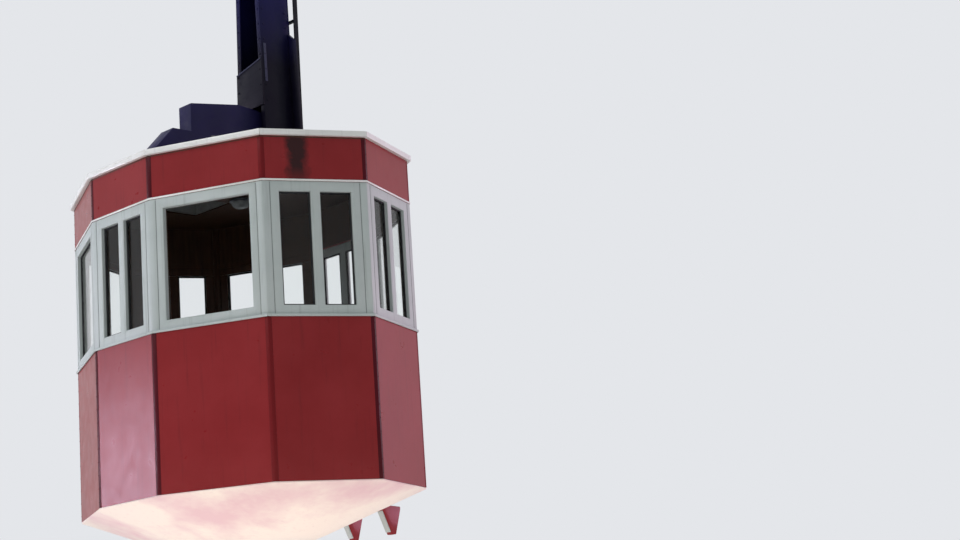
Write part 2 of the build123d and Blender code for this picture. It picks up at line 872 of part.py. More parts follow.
# Track brake between the middle wheels, its jaws either side of the rope
with BuildPart() as track_brake:
    with BuildSketch(Plane.XZ):
        with Locations((0, 170)):
            Rectangle(300, 200)
    extrude(amount=50, both=True)
    with BuildSketch(Plane.XZ):
        with Locations((0, 310)):
            Rectangle(110, 90)
    extrude(amount=main_inner - seat_gap, both=True)
    with BuildSketch(Plane.YZ):
        with Locations((39, 15), (-39, 15)):
            Rectangle(22, 120)
    extrude(amount=110, both=True)
save(track_brake, "track_brake")

# Haul rope bar: a drop plate on the stub, and beside it a bar with a fork at each end
drop_plate_thick = 20.0
bar_half_width = 20.0
bar_half_height = 40.0
fork_start = clevis_reach - 70.0
fork_ear = 14.0
fork_half = 28.0
bar_inner = haul_side - bar_half_width
with BuildPart() as haul_drop_plate:
    with BuildSketch(Plane.XZ.offset(-(bar_inner - drop_plate_thick))):
        with Locations((0, pin_height)):
            RegularPolygon(115, 8, major_radius=False, rotation=22.5)
        with Locations((0, haul_level)):
            Rectangle(300, 2 * bar_half_height)
        make_hull()
        with Locations((0, pin_height)):
            Circle(stub_radius + seat_gap, mode=Mode.SUBTRACT)
    extrude(amount=-drop_plate_thick)
save(haul_drop_plate, "haul_drop_plate")

with BuildPart() as haul_rope_bar:
    with BuildSketch(Plane.XZ.offset(-bar_inner)):
        with Locations((0, haul_level)):
            Rectangle(2 * fork_start, 2 * bar_half_height)
    extrude(amount=-2 * bar_half_width)
    for side in (-1, 1):
        with BuildSketch(Plane.XZ.offset(-(haul_side - fork_half))):
            with Locations((side * (fork_start - 10), haul_level)):
                Rectangle(20, 2 * bar_half_height)
            with Locations((side * clevis_reach, haul_level)):
                RegularPolygon(34, 8, major_radius=False, rotation=22.5)
            make_hull()
            with Locations((side * clevis_reach, haul_level)):
                Circle(clevis_bore, mode=Mode.SUBTRACT)
        extrude(amount=-2 * fork_half)
        with BuildSketch(Plane.XZ.offset(-(haul_side - fork_half + fork_ear))):
            with Locations((side * (clevis_reach + 2), haul_level)):
                Rectangle(120, 120)
        extrude(amount=-2 * (fork_half - fork_ear), mode=Mode.SUBTRACT)
save(haul_rope_bar, "haul_rope_bar")
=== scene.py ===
"""Looks of an aerial cable car: enamelled ten-sided cabin, dark riveted hanger, wheeled carriage."""

import json
from math import atan2, cos, pi, radians, sin, tan

import bmesh
import bpy
from mathutils import Matrix, Vector


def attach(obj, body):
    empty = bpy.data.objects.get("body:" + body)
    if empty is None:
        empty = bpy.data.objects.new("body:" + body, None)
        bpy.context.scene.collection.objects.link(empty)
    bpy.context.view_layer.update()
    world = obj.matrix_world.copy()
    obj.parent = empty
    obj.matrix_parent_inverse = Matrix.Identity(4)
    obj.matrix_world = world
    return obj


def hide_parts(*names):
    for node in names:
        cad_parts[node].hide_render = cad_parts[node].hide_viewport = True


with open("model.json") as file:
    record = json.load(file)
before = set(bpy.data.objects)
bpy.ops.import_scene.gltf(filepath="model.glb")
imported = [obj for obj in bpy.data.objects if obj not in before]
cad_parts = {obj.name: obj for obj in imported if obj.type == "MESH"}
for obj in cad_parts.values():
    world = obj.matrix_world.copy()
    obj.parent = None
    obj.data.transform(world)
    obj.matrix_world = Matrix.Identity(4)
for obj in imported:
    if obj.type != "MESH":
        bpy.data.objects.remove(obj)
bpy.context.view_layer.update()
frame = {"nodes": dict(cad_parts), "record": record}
nodes = frame["nodes"]

# Sizes that the looks share with the part, in metres and degrees
side_length, quarter_length, nose_length = 0.705, 0.875, 0.725
quarter_turn, nose_turn = 24.5, 40.5
end_turn = 180 - 2 * (quarter_turn + nose_turn)
half_width = 1.020
wall = 0.045
rim_z = -5.49
floor_z = rim_z + 0.095
threshold_z = rim_z + 0.105
sill_z = rim_z + 1.112
head_z = rim_z + 2.034
eaves_z = rim_z + 2.350
trim_top_z = eaves_z + 0.040
plateau_z = eaves_z + 0.085
ground_z = -7.16
corner_leg = 0.050
rail, mullion = 0.070, 0.065
pair_stile, single_stile = 0.112, 0.106
pane_low, pane_high = sill_z + rail, head_z - rail
belly_run, belly_drop = 0.660, 0.270
deck_inset, deck_run = 0.010, 0.200
hatch_x, hatch_half, hatch_rise = -0.60, 0.22, 0.055
hanger_front, hanger_back = 0.170, 0.450
leg_foot, leg_head, leg_top_z = 0.174, 0.094, 0.150
wheel_spots, axle_z = (-0.84, -0.40, 0.40, 0.84), 0.174
rocker_spots, rocker_pin_z = (-0.62, 0.62), 0.315

# Depths of the ply linings and of the battens on them, from the outer face of a wall
lining_back, lining_face = 0.0455, 0.0555
batten_back, batten_face = 0.0557, 0.0637


# Materials

def linear(hex_colour):
    """An sRGB hex colour as linear red, green, blue and alpha."""
    parts = [int(hex_colour[i:i + 2], 16) / 255 for i in (1, 3, 5)]
    return [c / 12.92 if c <= 0.04045 else ((c + 0.055) / 1.055) ** 2.4 for c in parts] + [1.0]


def add(tree, kind, settings=None, links=None):
    """A node with its settings and links.

    A setting is a socket's value, by name or number, the places and colours of a ramp's stops, or a property.
    A link is fed by another socket, or by a node, which gives its first output.
    """
    node = tree.nodes.new("ShaderNode" + kind)
    for name, value in (settings or {}).items():
        if name == "stops":
            for element, (spot, colour) in zip(node.color_ramp.elements, value):
                element.position, element.color = spot, linear(colour)
        elif isinstance(name, int) or name in node.inputs:
            node.inputs[name].default_value = value
        else:
            setattr(node, name, value)
    for name, source in (links or {}).items():
        tree.links.new(source.outputs[0] if hasattr(source, "outputs") else source, node.inputs[name])
    return node


def new_material(name):
    """An empty material, its node tree and the place that every pattern follows."""
    material = bpy.data.materials.new(name)
    material.use_nodes = True
    tree = material.node_tree
    tree.nodes.clear()
    return material, tree, add(tree, "TexCoord").outputs["Object"]


def dark_band_below_hanger(tree, place, surface):
    """A dark band below the hanger's foot, down the fascia of the right nose wall."""
    parts = add(tree, "SeparateXYZ", links={"Vector": place})
    wobble = add(tree, "TexNoise", {"Scale": 14.0, "Detail": 4.0, "Roughness": 0.6}, {"Vector": place})
    shift = add(tree, "MapRange", {"To Min": -0.05, "To Max": 0.05}, {"Value": wobble})
    spot = add(tree, "Math", {"operation": "ADD"}, {0: parts.outputs["Y"], 1: shift})
    off = add(tree, "Math", {"operation": "ADD", 1: 0.435}, {0: spot})
    side = add(tree, "Math", {"operation": "ABSOLUTE"}, {0: off})
    narrow = add(tree, "MapRange", {"From Min": 0.035, "From Max": 0.085, "To Min": 0.92, "To Max": 0.0},
                 {"Value": side})
    forward = add(tree, "MapRange", {"From Min": 0.9, "From Max": 1.0}, {"Value": parts.outputs["X"]})
    high = add(tree, "MapRange", {"From Min": head_z - 0.1, "From Max": head_z + 0.1},
               {"Value": parts.outputs["Z"]})
    both = add(tree, "Math", {"operation": "MULTIPLY"}, {0: narrow, 1: forward})
    whole = add(tree, "Math", {"operation": "MULTIPLY"}, {0: both, 1: high})
    black = linear("#1a0a0c")
    return add(tree, "Mix", {"data_type": "RGBA", 7: black}, {"Factor": whole, 6: surface}).outputs[2]


def enamel(name, colour, faded, dirt, rough, coat, shine, dusty=False, banded_below_hanger=False, unshaded_red=None,
           clouds=(0.32, 0.72, 2.2)):
    """Brushed or sprayed enamel on sheet steel: soft gloss, slow fading, rain streaks and orange peel."""
    material, tree, place = new_material(name)
    # Fading in patches of about half a metre, or larger on the belly
    first, last, scale = clouds
    patch = add(tree, "TexNoise", {"Scale": scale, "Detail": 5.0, "Roughness": 0.6}, {"Vector": place})
    tone = add(tree, "ValToRGB", {"stops": [(first, colour), (last, faded)]}, {"Fac": patch})
    # Rain streaks, 30 mm wide and half a metre long
    stretch = add(tree, "Mapping", {"Scale": (34.0, 34.0, 1.6)}, {"Vector": place})
    streak = add(tree, "TexNoise", {"Scale": 1.0, "Detail": 4.0, "Roughness": 0.65}, {"Vector": stretch})
    amount = add(tree, "MapRange", {"From Min": 0.55, "From Max": 0.85, "To Max": 0.55}, {"Value": streak})
    surface = add(tree, "Mix", {"data_type": "RGBA", 7: linear(dirt)}, {"Factor": amount, 6: tone}).outputs[2]
    if unshaded_red:
        # The strips where the quarter walls meet the nose and tail walls are painted like the wall; the
        # darker red of the other strips is partly painted shade
        across = add(tree, "SeparateXYZ", links={"Vector": place}).outputs["Y"]
        half = add(tree, "Math", {"operation": "ABSOLUTE"}, {0: across})
        edge = nose_length * cos(radians(end_turn / 2))
        near = add(tree, "Math", {"operation": "COMPARE", 1: edge, 2: 0.2}, {0: half})
        surface = add(tree, "Mix", {"data_type": "RGBA", 7: linear(unshaded_red)},
                      {"Factor": near, 6: surface}).outputs[2]
    if banded_below_hanger:
        surface = dark_band_below_hanger(tree, place, surface)
    if dusty:
        # Road and slope dust that thins out over 400 mm above the rim
        height = add(tree, "SeparateXYZ", links={"Vector": place}).outputs["Z"]
        low = add(tree, "MapRange", {"From Min": rim_z, "From Max": rim_z + 0.4, "To Min": 0.03,
                                     "To Max": 0.0}, {"Value": height})
        speckle = add(tree, "TexNoise", {"Scale": 18.0, "Detail": 6.0, "Roughness": 0.7}, {"Vector": place})
        part = add(tree, "Math", {"operation": "MULTIPLY"}, {0: low, 1: speckle})
        surface = add(tree, "Mix", {"data_type": "RGBA", 7: linear("#a99a8c")},
                      {"Factor": part, 6: surface}).outputs[2]
    gloss = add(tree, "TexNoise", {"Scale": 9.0, "Detail": 5.0, "Roughness": 0.6}, {"Vector": place})
    sheen = add(tree, "MapRange", {"From Min": 0.3, "From Max": 0.7, "To Min": rough - 0.03,
                                   "To Max": rough + 0.06}, {"Value": gloss})
    # Orange peel of 4 mm over gentle dents of 250 mm
    peel = add(tree, "TexNoise", {"Scale": 250.0, "Detail": 2.0}, {"Vector": place})
    fine = add(tree, "Bump", {"Strength": 0.08, "Distance": 0.001}, {"Height": peel})
    dents = add(tree, "TexNoise", {"Scale": 4.0, "Detail": 1.0}, {"Vector": place})
    wavy = add(tree, "Bump", {"Strength": 0.1, "Distance": 0.006}, {"Height": dents, "Normal": fine})
    shader = add(tree, "BsdfPrincipled",
                 {"IOR": 1.5, "Specular IOR Level": shine, "Coat Weight": coat, "Coat Roughness": 0.12},
                 {"Base Color": surface, "Roughness": sheen, "Normal": wavy})
    add(tree, "OutputMaterial", links={"Surface": shader})
    return material


def machine_paint(name, colour, worn, rough, shine, metallic=0.0, shade_below_level=None):
    """Thick dark paint on steel plate and castings: low gloss, brush marks, dust and grease in patches."""
    material, tree, place = new_material(name)
    patch = add(tree, "TexNoise", {"Scale": 3.5, "Detail": 6.0, "Roughness": 0.62}, {"Vector": place})
    surface = add(tree, "ValToRGB", {"stops": [(0.35, colour), (0.78, worn)]}, {"Fac": patch})
    if shade_below_level:
        # Painted shade: the paint turns almost black towards the foot of the hanger
        height = add(tree, "SeparateXYZ", links={"Vector": place}).outputs["Z"]
        foot_shade = add(tree, "MapRange", {"From Min": shade_below_level - 0.45, "From Max": shade_below_level + 0.15,
                                       "To Min": 1.0, "To Max": 0.0}, {"Value": height})
        surface = add(tree, "Mix", {"data_type": "RGBA", 7: linear("#0e0c1c")},
                      {"Factor": foot_shade, 6: surface}).outputs[2]
    gloss = add(tree, "TexNoise", {"Scale": 14.0, "Detail": 4.0, "Roughness": 0.6}, {"Vector": place})
    sheen = add(tree, "MapRange", {"From Min": 0.3, "From Max": 0.7, "To Min": rough - 0.1,
                                   "To Max": rough + 0.18}, {"Value": gloss})
    grain = add(tree, "TexNoise", {"Scale": 120.0, "Detail": 3.0, "Roughness": 0.55}, {"Vector": place})
    fine = add(tree, "Bump", {"Strength": 0.25, "Distance": 0.0015}, {"Height": grain})
    shader = add(tree, "BsdfPrincipled", {"Metallic": metallic, "IOR": 1.5, "Specular IOR Level": shine},
                 {"Base Color": surface, "Roughness": sheen, "Normal": fine})
    add(tree, "OutputMaterial", links={"Surface": shader})
    return material


def roof_coat(name, colour, chalky, grime):
    """Thick matt deck paint: chalky patches, grit, and grease that drips and spreads below the hanger."""
    material, tree, place = new_material(name)
    patch = add(tree, "TexNoise", {"Scale": 1.8, "Detail": 7.0, "Roughness": 0.65}, {"Vector": place})
    tone = add(tree, "ValToRGB", {"stops": [(0.34, colour), (0.68, chalky)]}, {"Fac": patch})
    spread = add(tree, "Mapping", {"Location": (0.0, -0.2, 0.0), "Scale": (1.0, 0.8, 0.0)}, {"Vector": place})
    reach = add(tree, "VectorMath", {"operation": "LENGTH"}, {"Vector": spread}).outputs["Value"]
    near = add(tree, "MapRange", {"From Min": 0.25, "From Max": 0.95, "To Min": 0.85, "To Max": 0.12},
               {"Value": reach})
    drips = add(tree, "TexNoise", {"Scale": 13.0, "Detail": 8.0, "Roughness": 0.7}, {"Vector": place})
    spots = add(tree, "MapRange", {"From Min": 0.46, "From Max": 0.7}, {"Value": drips})
    amount = add(tree, "Math", {"operation": "MULTIPLY"}, {0: near, 1: spots})
    greasy = add(tree, "Mix", {"data_type": "RGBA", 7: linear(grime)}, {"Factor": amount, 6: tone}).outputs[2]
    # Anti-slip grit of 3 mm
    grit = add(tree, "TexNoise", {"Scale": 320.0, "Detail": 2.0}, {"Vector": place})
    fine = add(tree, "Bump", {"Strength": 0.35, "Distance": 0.0015}, {"Height": grit})
    gloss = add(tree, "MapRange", {"To Min": 0.72, "To Max": 0.38}, {"Value": amount})
    shader = add(tree, "BsdfPrincipled", {"Specular IOR Level": 0.3},
                 {"Base Color": greasy, "Roughness": gloss, "Normal": fine})
    add(tree, "OutputMaterial", links={"Surface": shader})
    return material


def bare_steel(name, colour, dull, rough):
    """Turned or drawn steel, oiled and handled: fine scratches and duller patches."""
    material, tree, place = new_material(name)
    patch = add(tree, "TexNoise", {"Scale": 11.0, "Detail": 5.0, "Roughness": 0.65}, {"Vector": place})
    tone = add(tree, "ValToRGB", {"stops": [(0.35, colour), (0.7, dull)]}, {"Fac": patch})
    stretch = add(tree, "Mapping", {"Scale": (60.0, 400.0, 60.0)}, {"Vector": place})
    lines = add(tree, "TexNoise", {"Scale": 1.0, "Detail": 3.0}, {"Vector": stretch})
    sheen = add(tree, "MapRange", {"From Min": 0.3, "From Max": 0.7, "To Min": rough - 0.08,
                                   "To Max": rough + 0.15}, {"Value": lines})
    shader = add(tree, "BsdfPrincipled", {"Metallic": 1.0}, {"Base Color": tone, "Roughness": sheen})
    add(tree, "OutputMaterial", links={"Surface": shader})
    return material


def planks(name, colour, dark):
    """Oiled softwood boards laid along the cabin: 110 mm boards, dark joints and long grain."""
    material, tree, place = new_material(name)
    stretch = add(tree, "Mapping", {"Scale": (3.0, 60.0, 60.0)}, {"Vector": place})
    grain = add(tree, "TexNoise", {"Scale": 1.0, "Detail": 6.0, "Roughness": 0.6}, {"Vector": stretch})
    tone = add(tree, "ValToRGB", {"stops": [(0.3, dark), (0.7, colour)]}, {"Fac": grain})
    across = add(tree, "SeparateXYZ", links={"Vector": place}).outputs["Y"]
    wave = add(tree, "Math", {"operation": "PINGPONG", 1: 0.055}, {0: across})
    joint = add(tree, "MapRange", {"From Max": 0.004, "To Min": 1.0, "To Max": 0.0}, {"Value": wave})
    jointed = add(tree, "Mix", {"data_type": "RGBA", 7: linear("#120d09")},
                  {"Factor": joint, 6: tone}).outputs[2]
    fine = add(tree, "Bump", {"Strength": 0.3, "Distance": 0.002}, {"Height": grain})
    shader = add(tree, "BsdfPrincipled", {"Roughness": 0.55}, {"Base Color": jointed, "Normal": fine})
    add(tree, "OutputMaterial", links={"Surface": shader})
    return material


def veneer(name, colour, dark):
    """Varnished mahogany ply: upright grain in 25 mm bands, soft gloss."""
    material, tree, place = new_material(name)
    stretch = add(tree, "Mapping", {"Scale": (40.0, 40.0, 3.0)}, {"Vector": place})
    grain = add(tree, "TexNoise", {"Scale": 1.0, "Detail": 7.0, "Roughness": 0.65}, {"Vector": stretch})
    tone = add(tree, "ValToRGB", {"stops": [(0.3, dark), (0.7, colour)]}, {"Fac": grain})
    fine = add(tree, "Bump", {"Strength": 0.15, "Distance": 0.001}, {"Height": grain})
    shader = add(tree, "BsdfPrincipled", {"Roughness": 0.42, "Specular IOR Level": 0.3},
                 {"Base Color": tone, "Normal": fine})
    add(tree, "OutputMaterial", links={"Surface": shader})
    return material


def opal_glass(name):
    """Milk glass of the ceiling lamp, smooth and dusty."""
    material, tree, place = new_material(name)
    dust = add(tree, "TexNoise", {"Scale": 25.0, "Detail": 5.0}, {"Vector": place})
    tone = add(tree, "ValToRGB", {"stops": [(0.35, "#a4abad"), (0.7, "#868d90")]}, {"Fac": dust})
    shader = add(tree, "BsdfPrincipled", {"Roughness": 0.25}, {"Base Color": tone})
    add(tree, "OutputMaterial", links={"Surface": shader})
    return material


def flat_glass(name):
    """Clear drawn glass, slightly wavy, with a film of dust."""
    material, tree, place = new_material(name)
    waves = add(tree, "TexNoise", {"Scale": 3.0, "Detail": 2.0}, {"Vector": place})
    wavy = add(tree, "Bump", {"Strength": 0.05, "Distance": 0.004}, {"Height": waves})
    dust = add(tree, "TexNoise", {"Scale": 6.0, "Detail": 6.0, "Roughness": 0.7}, {"Vector": place})
    film = add(tree, "MapRange", {"From Min": 0.4, "From Max": 0.8, "To Max": 0.12}, {"Value": dust})
    # Window glass is about 1.5; the lower IOR gives the faint mirror of an old pane against a dark room
    shader = add(tree, "BsdfPrincipled",
                 {"Base Color": linear("#fcfefd"), "Transmission Weight": 1.0, "IOR": 1.2},
                 {"Roughness": film, "Normal": wavy})
    add(tree, "OutputMaterial", links={"Surface": shader})
    return material


def rubber(name, dark, dusty):
    """Moulded rubber or mastic, dull and dusty."""
    material, tree, place = new_material(name)
    patch = add(tree, "TexNoise", {"Scale": 12.0, "Detail": 5.0}, {"Vector": place})
    tone = add(tree, "ValToRGB", {"stops": [(0.35, dark), (0.75, dusty)]}, {"Fac": patch})
    grain = add(tree, "TexNoise", {"Scale": 300.0, "Detail": 2.0}, {"Vector": place})
    fine = add(tree, "Bump", {"Strength": 0.15, "Distance": 0.0005}, {"Height": grain})
    shader = add(tree, "BsdfPrincipled", {"Roughness": 0.75}, {"Base Color": tone, "Normal": fine})
    add(tree, "OutputMaterial", links={"Surface": shader})
    return material


finishes = {
    # Red enamel on the wall sheets, still glossy enough to mirror the sky at a slant
    "body_red": enamel("red_enamel", "#841c1f", "#8e2629", "#601519", 0.3, 0.05, 0.16, dusty=True,
                       banded_below_hanger=True),
    # A darker, dirtier red on the corner strips, its darkness partly painted shade at the corners
    "corner_red": enamel("dark_red_and_shade_enamel", "#480d16", "#551420", "#2d090e", 0.36, 0.0, 0.09, dusty=True,
                         unshaded_red="#711a1e"),
    # Cream enamel of the window band, greyed by weather
    "band_cream": enamel("cream_enamel", "#b3bdba", "#c0c9c6", "#878e8a", 0.45, 0.0, 0.12),
    # White enamel of the eaves, sill and bead, washed clean by rain
    "trim_white": enamel("white_enamel", "#dfe1dc", "#eceeea", "#b9bab4", 0.36, 0.2, 0.5),
    # Pale enamel with pink clouds
    "underside_paint": enamel("pale_enamel", "#f9ede0", "#e8c6c8", "#e2c8c4", 0.4, 0.1, 0.35,
                              clouds=(0.48, 0.66, 1.1)),
    # Matt grey deck paint, chalked by the sun and spotted with grease
    "roof_paint": roof_coat("grey_roof_paint", "#8b8e8d", "#a3a5a3", "#3a3836"),
    # Oiled boards, dark in the joints
    "floor_boards": planks("floor_boards", "#4a3828", "#2b1f15"),
    "window_glass": flat_glass("drawn_glass"),
    # Steel of handles, rails and plates, rubbed bright, and of pins and bolts, darkened by oil
    "fitting_steel": bare_steel("handled_steel", "#a9a8a2", "#6f6e6a", 0.34),
    "pin_steel": bare_steel("oiled_steel", "#8f8d88", "#4d4b48", 0.38),
    # Blue-black paint of the hanger, with painted shade that makes it almost black at its foot, and the dull
    # darks beside it
    "hanger_paint": machine_paint("blue_black_paint", "#141446", "#1d1d54", 0.4, 0.12, shade_below_level=-1.75),
    "ladder_paint": machine_paint("dark_grey_paint", "#12121a", "#1e1f28", 0.5, 0.15),
    "casting_paint": machine_paint("casting_paint", "#12103a", "#1d1b4a", 0.5, 0.15),
    "carriage_paint": machine_paint("greasy_paint", "#0e0e1a", "#1b1b28", 0.42, 0.25),
    # Cast steel wheels, thinly painted and greasy
    "wheel_iron": machine_paint("cast_steel", "#2c2c2f", "#454441", 0.45, 0.3, metallic=0.6),
}
# Finishes of the pieces that only the looks have
lining_veneer = veneer("mahogany_ply", "#523626", "#382217")
pane_rubber = rubber("pane_rubber", "#17171a", "#2b2b2d")
grey_mastic = rubber("grey_mastic", "#777e7c", "#8a918e")
zinc = bare_steel("weathered_zinc", "#8e9299", "#686c74", 0.5)
# Lighter blue-grey paint, a painted highlight on the hanger's edge bar and cover strip
highlight_paint = machine_paint("highlight_paint", "#33344a", "#44465c", 0.45, 0.15)
brass = bare_steel("old_brass", "#9a7a3c", "#5e4a28", 0.42)
milk_glass = opal_glass("milk_glass")
# The beams on the roof are the hanger's blue, faded and without the painted shade of its foot
faded_blue = machine_paint("faded_blue_paint", "#17143a", "#25224a", 0.5, 0.15)

slot_of = {row["node"]: row["material_slot"] for row in frame["record"]["subparts"]}
for name, node in nodes.items():
    node.data.materials.clear()
    node.data.materials.append(finishes[slot_of[name]])


# Ways of shaping

body_of = {node: body for body, names in frame["record"]["behaviour"]["bodies"].items() for node in names}


def fill_in_order(mesh, bm):
    """Corners and faces into a mesh, in an order that is the same each run."""
    points = sorted(bm.verts, key=lambda v: [round(number, 5) for number in v.co])
    index_of = {v: index for index, v in enumerate(points)}
    faces = []
    for face in bm.faces:
        corners = [index_of[v] for v in face.verts]
        first = corners.index(min(corners))
        faces.append(corners[first:] + corners[:first])
    mesh.from_pydata([v.co for v in points], [], sorted(faces))


def finish_piece(name, bm, material, body, smooth=30, from_cad=False):
    """A closed mesh as a piece of its own that moves with a body."""
    bmesh.ops.recalc_face_normals(bm, faces=bm.faces)
    mesh = bpy.data.meshes.new(name)
    if from_cad:
        # The normals of the CAD piece stay with it
        bm.to_mesh(mesh)
    else:
        fill_in_order(mesh, bm)
    bm.free()
    mesh.shade_smooth()
    mesh.set_sharp_from_angle(angle=radians(smooth))
    mesh.materials.append(material)
    piece = bpy.data.objects.new(name, mesh)
    bpy.context.scene.collection.objects.link(piece)
    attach(piece, body)
    return piece


def at(x, y, z=0.0):
    """The move to a spot."""
    return Matrix.Translation((x, y, z))


def about(axis, angle):
    """The turn about an axis of the frame."""
    return Matrix.Rotation(angle, 4, axis)


def facing(x, y, z):
    """The turn that lays X, Y and Z along three directions."""
    return Matrix((x, y, z)).transposed().to_4x4()


def once(items):
    """A list with each item once, in their own order."""
    return list(dict.fromkeys(items))


def soften(bm, edges, width, segments=1):
    """Edges cut back and rounded off."""
    bmesh.ops.bevel(bm, geom=edges, offset=width, offset_type="OFFSET", segments=segments, profile=0.5,
                    affect="EDGES", material=-1, clamp_overlap=True)


def plate(bm, place, x, y, width, height, low, high, round_by=0.0):
    """A plate in a face's plane, from one level out of the face to another."""
    shape = at(x, y, (low + high) / 2) @ Matrix.Diagonal((width, height, high - low, 1))
    made = bmesh.ops.create_cube(bm, size=1, matrix=place @ shape)
    if round_by:
        soften(bm, once(e for v in made["verts"] for e in v.link_edges), round_by)


def rod(bm, place, radius, depth, segments, top=None):
    """A round or many-sided bar about the place's Z axis, half above it and half below."""
    return bmesh.ops.create_cone(bm, cap_ends=True, segments=segments, radius1=radius,
                                 radius2=radius if top is None else top, depth=depth, matrix=place)


def ring(bm, place, x, y, width, height, bar, low, high):
    """A rectangular ring of bars around an opening."""
    for side in (-1, 1):
        plate(bm, place, x + side * (width - bar) / 2, y, bar, height, low, high, 0.001)
        plate(bm, place, x, y + side * (height - bar) / 2, width - 2 * bar, bar, low, high, 0.001)


def rivet(bm, place, radius, tall):
    """A snap head: a low dome of few faces, its foot on the surface."""
    foot = bmesh.ops.create_circle(bm, cap_ends=True, segments=8, radius=radius, matrix=place)
    top = bmesh.ops.extrude_face_region(bm, geom=once(f for v in foot["verts"] for f in v.link_faces))
    verts = [v for v in top["geom"] if isinstance(v, bmesh.types.BMVert)]
    rise = place.to_3x3() @ Vector((0, 0, tall))
    middle = place @ Vector((0, 0, 0)) + rise
    bmesh.ops.translate(bm, verts=verts, vec=rise)
    for v in verts:
        v.co = middle + (v.co - middle) * 0.55


def hexagon(bm, place, across, tall):
    """A hexagon head or nut with its corners turned off."""
    head = rod(bm, place @ at(0, 0, tall / 2), across / 1.732, tall, 6)
    ends = once(f for v in head["verts"] for f in v.link_faces if len(f.verts) == 6)
    soften(bm, [e for f in ends for e in f.edges], tall * 0.12)


def turned(bm, profile, centre, axis, across, steps):
    """A closed profile of radius and height, spun about an axis."""
    verts = [bm.verts.new(Vector(centre) + Vector(across) * r + Vector(axis) * h) for r, h in profile]
    edges = [bm.edges.new((verts[i - 1], verts[i])) for i in range(len(verts))]
    bmesh.ops.spin(bm, geom=verts + edges, cent=centre, axis=axis, angle=2 * pi, steps=steps, use_merge=True,
                   use_duplicate=False)


def wall_faces():
    """The ten walls: name, length, half the turn at each end, and the place of the face.

    In a face's place X runs along the wall, Y is up and Z points out of the cabin.
    """
    table = [("right_side", side_length, quarter_turn), ("right_front_quarter", quarter_length, nose_turn),
             ("right_nose", nose_length, end_turn), ("left_nose", nose_length, nose_turn),
             ("left_front_quarter", quarter_length, quarter_turn), ("left_side", side_length, quarter_turn),
             ("left_rear_quarter", quarter_length, nose_turn), ("left_tail", nose_length, end_turn),
             ("right_tail", nose_length, nose_turn), ("right_rear_quarter", quarter_length, quarter_turn)]
    corner, heading = Vector((-side_length / 2, -half_width, 0)), 0.0
    rows = []
    for index, (name, length, turn) in enumerate(table):
        along = Vector((cos(heading), sin(heading), 0))
        out = Vector((sin(heading), -cos(heading), 0))
        place = at(*(corner + along * length / 2)) @ facing(along, Vector((0, 0, 1)), out)
        rows.append((name, length, radians(table[index - 1][2] / 2), radians(turn / 2), place))
        corner = corner + along * length
        heading += radians(turn)
    return rows


walls = wall_faces()
door_wall = walls[5]


def pane_spots(name, length):
    """Middles and width of the panes of a wall."""
    if "side" in name or "nose" in name or "tail" in name:
        width = (length - 2 * pair_stile - mullion) / 2
        return [-(width + mullion) / 2, (width + mullion) / 2], width
    return [0.0], length - 2 * single_stile


# CAD pieces with the edges that paint and use round off

def rounded_copy(node, width):
    """A copy of a CAD piece, merged, with its sharp edges rounded, that stands for it."""
    bm = bmesh.new()
    bm.from_mesh(nodes[node].data)
    bmesh.ops.remove_doubles(bm, verts=bm.verts, dist=0.00002)
    bmesh.ops.dissolve_limit(bm, angle_limit=radians(1.0), verts=bm.verts, edges=bm.edges)
    soften(bm, [e for e in bm.edges if e.is_manifold and e.calc_face_angle(0) > radians(28)], width, 2)
    material = faded_blue if node in ("roof_beam", "sole_beams") else finishes[slot_of[node]]
    piece = finish_piece(node + "_rounded", bm, material, body_of[node], from_cad=True)
    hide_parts(node)


# Widths of the rounding in millimetres
for node, width in {
    "underside_panel": 6, "lower_corner_posts": 3, "window_corner_posts": 3, "fascia_corner_posts": 3,
    "side_window_frame": 4, "open_window_frame": 4, "quarter_window_frames": 4, "nose_window_frames": 4,
    "tail_window_frames": 4, "sill_moulding": 5, "eaves_trim": 5, "roof_beam": 6, "sole_beams": 6,
    "foot_plates": 3, "hanger_legs": 2, "hanger_back_plate": 2, "hanger_tie_plates": 2, "hanger_gussets": 2,
    "side_guides": 5, "guide_strips": 2, "door_window_frame": 4, "track_brake": 4, "dropped_sash": 3,
    "door_handles": 4, "handrails": 5, "door_threshold": 2, "haul_drop_plate": 2,
}.items():
    rounded_copy(node, width / 1000)


# Inside of the cabin

